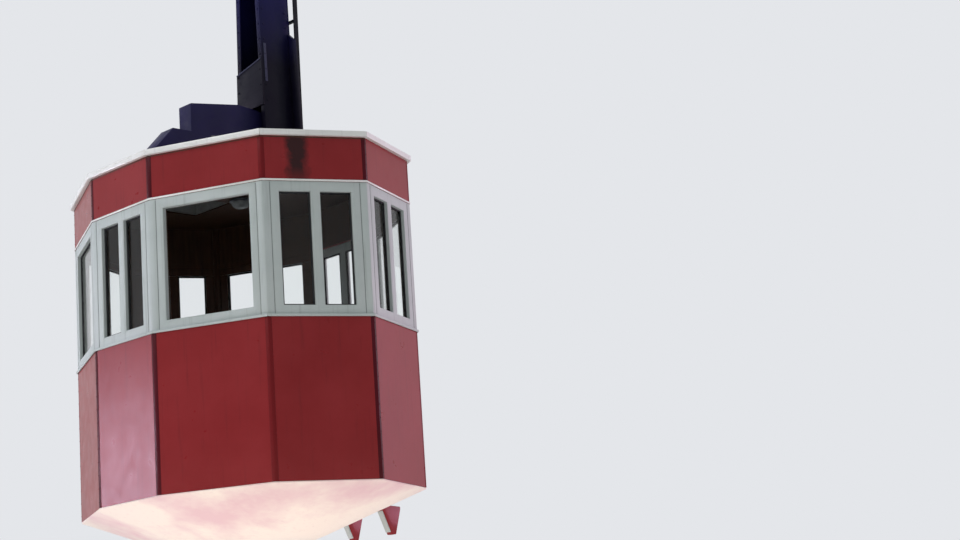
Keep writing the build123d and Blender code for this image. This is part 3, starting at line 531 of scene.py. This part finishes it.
def inner_linings():
    """Ply linings on the walls below the sills, around the windows and behind the fascia, and on the door."""
    middle, tall = (pane_low + pane_high) / 2, pane_high - pane_low - 0.002
    bm, over_door = bmesh.new(), bmesh.new()

    def board(mesh, x, y, width, height, back=lining_back, face=lining_face):
        plate(mesh, place, x, y, width, height, -face, -back, 0.002)

    for name, length, before, after, place in walls:
        ends, lean = tan(before) + tan(after), (tan(before) - tan(after)) / 2
        width, shift = length - lining_face * ends - 0.004, lining_face * lean
        fascia = (shift, (head_z + eaves_z) / 2, width, eaves_z - head_z - 0.012)
        if name == "left_side":
            board(over_door, *fascia)
            continue
        # Under the open window the lining stands further in, so that the sash drops behind it
        back = 0.0665 if name == "right_front_quarter" else lining_back
        face = back + 0.010
        board(bm, face * lean, (floor_z + sill_z) / 2, length - face * ends - 0.004, sill_z - floor_z - 0.006,
              back, face)
        board(bm, *fascia)
        board(bm, shift, sill_z + rail / 2, width, rail - 0.002)
        board(bm, shift, head_z - rail / 2, width, rail - 0.002)
        spots, pane = pane_spots(name, length)
        left, right = spots[0] - pane / 2, spots[-1] + pane / 2
        for start, end in ((shift - width / 2, left), (right, shift + width / 2)):
            board(bm, (start + end) / 2, middle, end - start, tall)
        if len(spots) == 2:
            board(bm, 0, middle, mullion, tall)
    finish_piece("inner_linings", bm, lining_veneer, "cabin")
    finish_piece("door_head_lining", over_door, lining_veneer, "cabin")

    bm, place = bmesh.new(), door_wall[4]
    left, right = -0.235, side_length / 2 - corner_leg - 0.012
    foot = threshold_z + 0.010
    plate(bm, place, (left + right) / 2, (foot + sill_z) / 2, right - left, sill_z - foot - 0.010,
          -0.0535, -lining_back, 0.002)
    finish_piece("door_lining", bm, lining_veneer, "door")


def lining_battens():
    """Wooden battens over the joints of the linings: skirting, sill, head and both sides of each corner."""
    bm = bmesh.new()
    top = eaves_z - 0.014
    for name, length, before, after, place in walls:
        left, right = -length / 2 + batten_face * tan(before), length / 2 - batten_face * tan(after)
        start, end = left + 0.024, right - 0.024
        middle, run = (start + end) / 2, end - start
        if name == "left_side":
            plate(bm, place, middle, head_z + 0.022, run, 0.042, -batten_face, -batten_back, 0.001)
            continue
        plate(bm, place, middle, head_z, run, 0.036, -batten_face, -batten_back, 0.001)
        if name == "right_front_quarter":
            # Here the battens sit on the lining that stands further in
            foot = sill_z + 0.018
            for level, tall in ((sill_z - 0.001, 0.034), (floor_z + 0.032, 0.060)):
                plate(bm, place, middle, level, run - 0.02, tall, -0.0845, -0.0767, 0.001)
        else:
            foot = floor_z + 0.002
            for level, tall in ((sill_z, 0.036), (floor_z + 0.032, 0.060)):
                plate(bm, place, middle, level, run, tall, -batten_face, -batten_back, 0.001)
        for a, b in ((left, start), (end, right)):
            plate(bm, place, (a + b) / 2, (foot + top) / 2, b - a, top - foot, -batten_face, -batten_back)
    finish_piece("lining_battens", bm, lining_veneer, "cabin")


def ceiling():
    """Ply ceiling under the roof deck with a square cut for the hatch, and a round lamp."""
    bm = bmesh.new()
    level = eaves_z - 0.004
    corners = [bm.verts.new(place @ Vector((-length / 2, level, 0))) for name, length, *ends, place in walls]
    face = bm.faces.new(corners)
    bmesh.ops.inset_region(bm, faces=[face], thickness=0.058, use_even_offset=True)
    bmesh.ops.delete(bm, geom=[f for f in bm.faces if f is not face], context="FACES")
    for spot, normal in (((hatch_x - hatch_half, 0, 0), (1, 0, 0)), ((hatch_x + hatch_half, 0, 0), (1, 0, 0)),
                         ((0, -hatch_half, 0), (0, 1, 0)), ((0, hatch_half, 0), (0, 1, 0))):
        bmesh.ops.bisect_plane(bm, geom=list(bm.verts) + list(bm.edges) + list(bm.faces), plane_co=spot,
                               plane_no=normal)
    middles = [(f, f.calc_center_median()) for f in bm.faces]
    hole = [f for f, middle in middles if abs(middle.x - hatch_x) < 0.2 and abs(middle.y) < 0.2]
    bmesh.ops.delete(bm, geom=hole, context="FACES")
    made = bmesh.ops.extrude_face_region(bm, geom=list(bm.faces))
    lower = [v for v in made["geom"] if isinstance(v, bmesh.types.BMVert)]
    bmesh.ops.translate(bm, verts=lower, vec=(0, 0, -0.008))
    finish_piece("ceiling_ply", bm, lining_veneer, "cabin")

    base = [(0.0, 0.0), (0.082, 0.0), (0.085, -0.004), (0.084, -0.016), (0.074, -0.020), (0.0, -0.020)]
    bowl = [(0.0, -0.0205), (0.070, -0.0205), (0.068, -0.036), (0.058, -0.052), (0.040, -0.064),
            (0.018, -0.070), (0.0, -0.071)]
    for name, profile, material, slot in (("lamp_base", base, zinc, "fitting_steel"),
                                          ("lamp_glass", bowl, milk_glass, "window_glass")):
        bm = bmesh.new()
        turned(bm, profile, (-0.26, 0.23, level - 0.008), (0, 0, 1), (1, 0, 0), 32)
        bmesh.ops.remove_doubles(bm, verts=bm.verts, dist=0.0001)
        finish_piece(name, bm, material, "cabin")


def window_rubbers():
    """Rubber channels that hold the panes, inside and outside."""
    middle, tall = (pane_low + pane_high) / 2, pane_high - pane_low - 0.0006
    fixed = [row for row in walls if row[0] not in ("left_side", "right_front_quarter")]
    for piece_name, body, chosen in (("pane_rubbers", "cabin", fixed),
                                     ("door_pane_rubbers", "door", [door_wall])):
        bm = bmesh.new()
        for name, length, *ends, place in chosen:
            spots, pane = pane_spots(name, length)
            for spot in spots:
                for low, high in ((-0.0298, -0.0235), (-0.0430, -0.0362)):
                    ring(bm, place, spot, middle, pane - 0.0006, tall, 0.010, low, high)
        finish_piece(piece_name, bm, pane_rubber, body)


# Outside of the cabin

def strip_rivets():
    """Snap heads of 9 mm down both legs of each corner strip, 90 mm apart."""
    bm = bmesh.new()
    for name, length, *ends, place in walls:
        inset = 0.030 if name == "left_side" else 0.012
        for low, high in ((rim_z + 0.05, sill_z - 0.05), (head_z + 0.05, eaves_z - 0.04)):
            count = max(2, round((high - low) / 0.09))
            for side in (-1, 1):
                for step in range(count + 1):
                    spot = at(side * (length / 2 - inset), low + (high - low) * step / count)
                    rivet(bm, place @ spot, 0.0045, 0.0025)
    finish_piece("strip_rivets", bm, finishes["corner_red"], "cabin", 60)


def head_bead():
    """A half-round bead where the fascia meets the window band."""
    bm = bmesh.new()
    for name, length, before, after, place in walls:
        run = length + 0.006 * (tan(before) + tan(after))
        plate(bm, place, 0, head_z + 0.007, run, 0.014, 0.0002, 0.006, 0.0028)
    finish_piece("head_bead", bm, finishes["trim_white"], "cabin", 50)


def band_seams():
    """Lines of grey mastic between the corner posts and the window frames."""
    bm = bmesh.new()
    middle, tall = (sill_z + head_z) / 2, head_z - sill_z - 0.022
    for name, length, *ends, place in walls:
        if name != "left_side":
            for side in (-1, 1):
                plate(bm, place, side * (length / 2 - corner_leg), middle, 0.004, tall, -0.002, 0.0008)
    finish_piece("band_seams", bm, grey_mastic, "cabin")


def belly_fittings():
    """Countersunk screws round the rim of the belly and two brass drain plugs on its flat."""
    bm = bmesh.new()
    slope = atan2(belly_drop, belly_run)
    for name, length, *ends, place in walls:
        run = length - 0.12
        count = round(run / 0.11)
        lie = place @ at(0, rim_z) @ about("X", pi / 2 - slope)
        for step in range(count + 1):
            rivet(bm, lie @ at(-run / 2 + run * step / count, -0.030), 0.005, 0.0015)
    finish_piece("belly_screws", bm, finishes["underside_paint"], "cabin", 60)
    bm = bmesh.new()
    for side in (-1, 1):
        hexagon(bm, at(side * 0.35, 0, rim_z - belly_drop + 0.006) @ about("X", pi), 0.030, 0.0058)
    finish_piece("drain_plugs", bm, brass, "cabin")


def door_furniture():
    """Lock plates behind the handles, a kick strip, and screws in the hinge leaves."""
    steel = finishes["fitting_steel"]
    latch_x = -(side_length / 2 - corner_leg - 0.008 - 0.040)
    for piece_name, level, way in (("outer_lock_plate", half_width, 1),
                                   ("inner_lock_plate", half_width - 0.0537, -1)):
        bm = bmesh.new()
        face = at(latch_x, level, rim_z + 1.0) @ facing((-way, 0, 0), (0, 0, 1), (0, way, 0))
        plate(bm, face, 0, 0, 0.052, 0.210, 0.0002, 0.003, 0.0012)
        for x, y in ((-0.018, 0.095), (0.018, 0.095), (-0.018, -0.095), (0.018, -0.095)):
            rivet(bm, face @ at(x, y, 0.003), 0.004, 0.0012)
        finish_piece(piece_name, bm, steel, "door")
    bm, place = bmesh.new(), door_wall[4]
    plate(bm, place, 0.0015, threshold_z + 0.055, side_length - 0.130, 0.100, 0.0002, 0.0022, 0.001)
    for step in range(7):
        for rise in (0.018, 0.092):
            rivet(bm, place @ at(-0.27 + 0.09 * step, threshold_z + rise, 0.0022), 0.004, 0.0012)
    finish_piece("kick_strip", bm, zinc, "door")
    bm = bmesh.new()
    for height in (0.330, 1.000, 1.800):
        for rise in (-0.018, 0.018):
            inward = at(0.30 - 0.036, half_width - wall - 0.008, rim_z + height + rise) @ facing(
                (1, 0, 0), (0, 0, 1), (0, -1, 0))
            for x in (0, -0.018):
                rivet(bm, inward @ at(x, 0), 0.005, 0.002)
    finish_piece("hinge_screws", bm, steel, "door")


def hatch_furniture():
    """A bent-bar grab handle on the roof hatch, each foot on a round flange."""
    bm = bmesh.new()
    lid_top = plateau_z + hatch_rise + 0.0003 + 0.022
    handle_x, bar_z, thick = -0.45, lid_top + 0.036, 0.008
    for side in (-1, 1):
        rod(bm, at(handle_x, side * 0.08, lid_top + 0.018), thick, 0.036, 16)
        bmesh.ops.create_uvsphere(bm, u_segments=16, v_segments=8, radius=0.0084,
                                  matrix=at(handle_x, side * 0.08, bar_z))
        rod(bm, at(handle_x, side * 0.08, lid_top + 0.0022), 0.018, 0.004, 16, 0.015)
    rod(bm, at(handle_x, 0, bar_z) @ about("X", pi / 2), thick, 0.160, 16)
    finish_piece("hatch_handle", bm, zinc, "hatch")


def roof_screws():
    """Round-head screws along the eaves trim, 140 mm apart."""
    bm = bmesh.new()
    for name, length, *ends, place in walls:
        count = round(length / 0.14)
        for step in range(count):
            spot = at(-length / 2 + length * (step + 0.5) / count, trim_top_z, 0.010)
            rivet(bm, place @ spot @ about("X", -pi / 2), 0.006, 0.003)
    finish_piece("roof_screws", bm, zinc, "cabin", 60)


def roof_strips():
    """Flat cover strips down the hips of the roof and across its flat, with a screw every 120 mm."""
    bm, screws = bmesh.new(), bmesh.new()

    def strip(start, end, lift):
        run = end - start
        across = Vector((0, 0, 1)).cross(run).normalized()
        along = run.normalized()
        place = at(*((start + end) / 2)) @ facing(along, across, along.cross(across))
        plate(bm, place, 0, 0, run.length, 0.032, lift - 0.003, lift + 0.003, 0.001)
        count = max(2, round(run.length / 0.12))
        for step in range(count):
            spot = -run.length / 2 + run.length * (step + 0.5) / count
            rivet(screws, place @ at(spot, 0, lift + 0.003), 0.005, 0.0025)

    hips, slope = [], ((deck_inset + 0.004, trim_top_z), (deck_inset + deck_run, plateau_z))
    for name, length, before, after, place in walls:
        low, high = [place @ Vector((length / 2 - deep * tan(after), level, -deep)) for deep, level in slope]
        strip(low, high, 0.0025)
        hips.append(high)
    for spot in (-1.02, 1.02):
        ends = [a + (b - a) * ((spot - a.x) / (b.x - a.x)) for a, b in zip(hips, hips[1:] + hips[:1])
                if (a.x - spot) * (b.x - spot) < 0]
        strip(min(ends, key=lambda v: v.y), max(ends, key=lambda v: v.y), 0.001)
    finish_piece("roof_strips", bm, finishes["roof_paint"], "cabin")
    finish_piece("strip_screws", screws, zinc, "cabin", 60)


# Hanger

def leg_half(level):
    """Half the width of the hanger at a level."""
    return leg_foot - (leg_foot - leg_head) / (leg_top_z - plateau_z) * (level - plateau_z)


# Lower edge, rear upper edge and front upper edge of each tie plate
ties = [(plateau_z + 0.530, rim_z + 3.267, rim_z + 3.333), (rim_z + 4.000, rim_z + 4.160, rim_z + 4.160),
        (rim_z + 4.720, rim_z + 4.880, rim_z + 4.880), (rim_z + 5.400, rim_z + 5.560, rim_z + 5.560)]


def hanger_rivets():
    """Rivets of 18 mm up the front flanges and through the tie plates, the side plates and the gussets."""
    bm = bmesh.new()
    radius, tall, pitch = 0.009, 0.006, 0.12
    for side in (-1, 1):
        level = plateau_z + 0.09
        while level < 0.10:
            on_tie = any(low - 0.02 < level < min(rear, front) + 0.04 for low, rear, front in ties)
            at_edge_bar = on_tie and plateau_z + 0.95 < level < plateau_z + 1.10
            if level > plateau_z + 0.60 and not at_edge_bar:
                spot = at(side * (leg_half(level) - 0.022), hanger_front - (0.010 if on_tie else 0.0), level)
                rivet(bm, spot @ about("X", pi / 2), radius, tall)
            for depth in (hanger_front + 0.028, hanger_back - 0.040):
                if level > plateau_z + 0.50 and (level > rim_z + 3.60 or depth < 0.3):
                    spot = at(side * leg_half(level), depth, level)
                    rivet(bm, spot @ about("Y", side * pi / 2), radius, tall)
            level += pitch
        for rise in (2.62, 2.80, 2.98, 3.16, 3.34):
            rivet(bm, at(side * 0.205, hanger_back, rim_z + rise) @ about("X", -pi / 2), radius, tall)
    finish_piece("hanger_rivets", bm, finishes["hanger_paint"], "cabin", 60)


def hanger_bolts():
    """Hexagon bolts through the foot plates and the sole beams."""
    bm = bmesh.new()
    for side in (-1, 1):
        for y in (hanger_front + 0.020, (hanger_front + hanger_back) / 2, hanger_back - 0.020):
            hexagon(bm, at(side * 0.222, y, plateau_z + 0.020), 0.030, 0.018)
        for y in (-0.520, 0.520):
            for x in (0.14, 0.29, 0.44):
                hexagon(bm, at(side * x, y, plateau_z + 0.090), 0.030, 0.018)
    finish_piece("foot_bolts", bm, finishes["pin_steel"], "cabin")


def lit_edge_strips():
    """Edge bar on the sloping top of the foot plate, and a cover strip up the front edge of the leg, both in
    lighter paint that is a painted highlight on these edges.
    """
    bm = bmesh.new()
    rear, front = ties[0][1:]
    left, right = Vector((-leg_half(rear), 0, rear)), Vector((leg_half(front), 0, front))
    middle, run = (left + right) / 2, right - left
    lean = atan2(run.z, run.x)
    place = at(middle.x, hanger_front - 0.010, middle.z) @ about("Y", -lean) @ about("X", pi / 2)
    plate(bm, place, 0, -0.006, run.length - 0.004, 0.012, 0.0002, 0.005, 0.002)
    finish_piece("foot_edge_bar", bm, highlight_paint, "cabin")
    bm = bmesh.new()
    level = -2.19
    tilt = atan2(leg_foot - leg_head, leg_top_z - plateau_z)
    place = at(leg_half(level), hanger_front + 0.030, level) @ about("Y", -tilt) @ facing(
        (0, 1, 0), (0, 0, 1), (1, 0, 0))
    plate(bm, place, 0, 0, 0.024, 0.300, 0.0003, 0.005, 0.002)
    for rise in (-0.12, 0.0, 0.12):
        rivet(bm, place @ at(0, rise, 0.005), 0.006, 0.003)
    finish_piece("leg_cover_strip", bm, highlight_paint, "cabin")


# Carriage

def rope_wheels():
    """Turned and ribbed rope wheels: grooved rim, dished web, hub with a bearing cap."""
    half = [(0.0225, 0.044), (0.026, 0.046), (0.044, 0.046), (0.050, 0.042), (0.053, 0.020), (0.062, 0.012),
            (0.116, 0.011), (0.126, 0.018), (0.132, 0.038), (0.138, 0.043), (0.172, 0.042), (0.178, 0.039),
            (0.180, 0.034), (0.178, 0.031), (0.160, 0.0275), (0.153, 0.0252), (0.1502, 0.018)]
    profile = half + [(r, -h) for r, h in reversed(half)]
    for number, spot in enumerate(wheel_spots, start=1):
        bm = bmesh.new()
        turned(bm, profile, (spot, 0, axle_z), (0, 1, 0), (1, 0, 0), 72)
        for side in (-1, 1):
            low, high = sorted((side * 0.008, side * 0.026))
            for step in range(6):
                spoke = at(spot, 0, axle_z) @ about("Y", step * pi / 3)
                plate(bm, spoke @ about("X", pi / 2), 0.088, 0, 0.080, 0.011, low, high, 0.002)
                rivet(bm, spoke @ at(0.036, side * 0.046) @ about("X", -side * pi / 2), 0.0045, 0.003)
        iron = finishes["wheel_iron"]
        piece = finish_piece(f"turned_wheel_{number}", bm, iron, f"wheel_{number}")
        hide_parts(f"rope_wheel_{number}")


def carriage_bolts():
    """Nuts on the spacers of the main beam, and bolts through the haul rope bar."""
    bm = bmesh.new()
    for side in (-1, 1):
        for x in (-0.190, 0.190):
            hexagon(bm, at(x, side * 0.0882, 0.450) @ about("X", -side * pi / 2), 0.036, 0.018)
    for x in (-0.11, -0.04, 0.04, 0.11):
        hexagon(bm, at(x, 0.155, -0.200) @ about("X", -pi / 2), 0.028, 0.010)
    finish_piece("carriage_bolts", bm, finishes["pin_steel"], "carriage")


def carriage_fittings():
    """Washers, split pins and grease nipples on the pins and axles of the carriage."""
    washers, pins = bmesh.new(), bmesh.new()
    rows = [(x, rocker_pin_z, 0.088, 0.047, 0.038) for x in rocker_spots]
    rows += [(x, axle_z, 0.066, 0.037, 0.032) for x in wheel_spots]
    for x, z, face, wide, head in rows:
        for side in (-1, 1):
            end = at(x, side * face, z) @ about("X", -side * pi / 2)
            washer = rod(washers, end @ at(0, 0, 0.0018), wide, 0.0028, 32)
            rims = once(e for v in washer["verts"] for e in v.link_edges if len(e.link_faces) == 2)
            soften(washers, [e for e in rims if e.calc_face_angle(0) > 1], 0.0006)
            rivet(pins, end @ at(0, 0, 0.0123), 0.011, 0.003)
            rivet(pins, end @ at(0, 0, 0.0150), 0.006, 0.006)
            across = end @ at(0, 0, 0.0070) @ about("Z", 0.6) @ about("X", pi / 2)
            rod(pins, across, 0.0024, 2 * head + 0.008, 8)
    finish_piece("pin_washers", washers, finishes["pin_steel"], "carriage")
    finish_piece("split_pins", pins, finishes["fitting_steel"], "carriage", 50)


for make in (inner_linings, lining_battens, ceiling, window_rubbers, strip_rivets, head_bead, band_seams,
             belly_fittings, door_furniture, hatch_furniture, roof_screws, roof_strips, hanger_rivets,
             hanger_bolts, lit_edge_strips, rope_wheels, carriage_bolts, carriage_fittings):
    make()


# Stage: a plain pale floor at the camera's height, and a pale world

def stage_floor():
    """A wide round floor that the camera sees as pale as the backdrop, and that keeps the shadow."""
    bm = bmesh.new()
    bmesh.ops.create_circle(bm, cap_ends=True, segments=96, radius=60.0, matrix=at(0, 0, ground_z))
    mesh = bpy.data.meshes.new("studio_floor")
    bm.to_mesh(mesh)
    bm.free()
    ground = bpy.data.objects.new("studio_floor", mesh)
    bpy.context.scene.collection.objects.link(ground)
    material, tree, place = new_material("pale_floor")
    speck = add(tree, "TexNoise", {"Scale": 2.0, "Detail": 3.0}, {"Vector": place})
    tone = add(tree, "ValToRGB", {"stops": [(0.0, "#e2e1de"), (1.0, "#e8e7e4")]}, {"Fac": speck})
    seen = add(tree, "LightPath").outputs["Is Camera Ray"]
    lift = add(tree, "Math", {"operation": "MULTIPLY", 1: 0.34}, {0: seen})
    shader = add(tree, "BsdfPrincipled",
                 {"Roughness": 0.9, "Specular IOR Level": 0.1, "Emission Color": linear("#e4e6ea")},
                 {"Base Color": tone, "Emission Strength": lift})
    add(tree, "OutputMaterial", links={"Surface": shader})
    mesh.materials.append(material)


def pale_world():
    """A pale backdrop for the camera, mirrors and glass, and a weaker light on everything."""
    world = bpy.data.worlds.new("pale_studio")
    world.use_nodes = True
    tree = world.node_tree
    tree.nodes.clear()
    rays = add(tree, "LightPath").outputs
    seen = add(tree, "Math", {"operation": "MAXIMUM"}, {0: rays["Is Camera Ray"], 1: rays["Is Glossy Ray"]})
    through = add(tree, "Math", {"operation": "MAXIMUM"}, {0: seen, 1: rays["Is Transmission Ray"]})
    lighting = add(tree, "Background", {"Color": linear("#f2f4f8"), "Strength": 0.58})
    shown = add(tree, "Background", {"Color": linear("#e4e6ea"), "Strength": 1.0})
    both = add(tree, "MixShader", links={"Fac": through, 1: lighting, 2: shown})
    add(tree, "OutputWorld", links={"Surface": both})
    bpy.context.scene.world = world


def soft_lamp(name, spot, aim, size, power, colour="#ffffff", spread=180, mirrored=True):
    """A round soft box that neither the camera nor the glass shows."""
    light = bpy.data.lights.new(name, "AREA")
    light.shape = "DISK"
    light.size = size
    light.energy = power
    light.color = linear(colour)[:3]
    light.spread = radians(spread)
    lamp = bpy.data.objects.new(name, light)
    lamp.visible_camera = lamp.visible_transmission = False
    lamp.visible_glossy = mirrored
    bpy.context.scene.collection.objects.link(lamp)
    lamp.location = spot
    lamp.rotation_euler = (Vector(aim) - Vector(spot)).to_track_quat("-Z", "Y").to_euler()


stage_floor()
pale_world()
# Key from the sky left of the camera, low lamps for the sheen of the end walls, sky, and light from below
soft_lamp("key", (-2.6, -11.5, 5.5), (0, 0, -4.0), 6.0, 515)
soft_lamp("left_low", (-10.5, -8.9, -4.4), (0, -1, -4.7), 4.0, 56, "#ebe0fb", spread=50)
soft_lamp("right_low", (5.2, 10.4, -3.4), (1.2, 0, -4.2), 5.0, 43, "#f8bfe8", spread=50)
soft_lamp("sky", (-3.0, 2.0, 9.0), (0, 0, -3.0), 8.0, 500, "#eef3ff")
soft_lamp("bounce", (0.8, -0.9, -7.12), (0.8, -0.9, 0.0), 5.0, 45, "#fff1ea", mirrored=False)

# Camera: fitted to the cabin's edges in the photograph, at floor level, looking up
pitch, roll, azimuth = radians(12.45), radians(-3.85), radians(46.08)
level = Vector((-sin(azimuth), cos(azimuth), 0))
right = Vector((cos(azimuth), sin(azimuth), 0))
forward = level * cos(pitch) + Vector((0, 0, sin(pitch)))
up = Vector((0, 0, cos(pitch))) - level * sin(pitch)
camera_right = right * cos(roll) + up * sin(roll)
camera_up = up * cos(roll) - right * sin(roll)
lens = bpy.data.cameras.new("camera")
lens.sensor_width = 36.0
lens.lens = 78.0
lens.clip_end = 300.0
camera = bpy.data.objects.new("camera", lens)
bpy.context.scene.collection.objects.link(camera)
camera.matrix_world = at(11.817, -8.965, -7.14) @ facing(camera_right, camera_up, -forward)
bpy.context.scene.camera = camera
bpy.context.scene.view_settings.view_transform = "Standard"
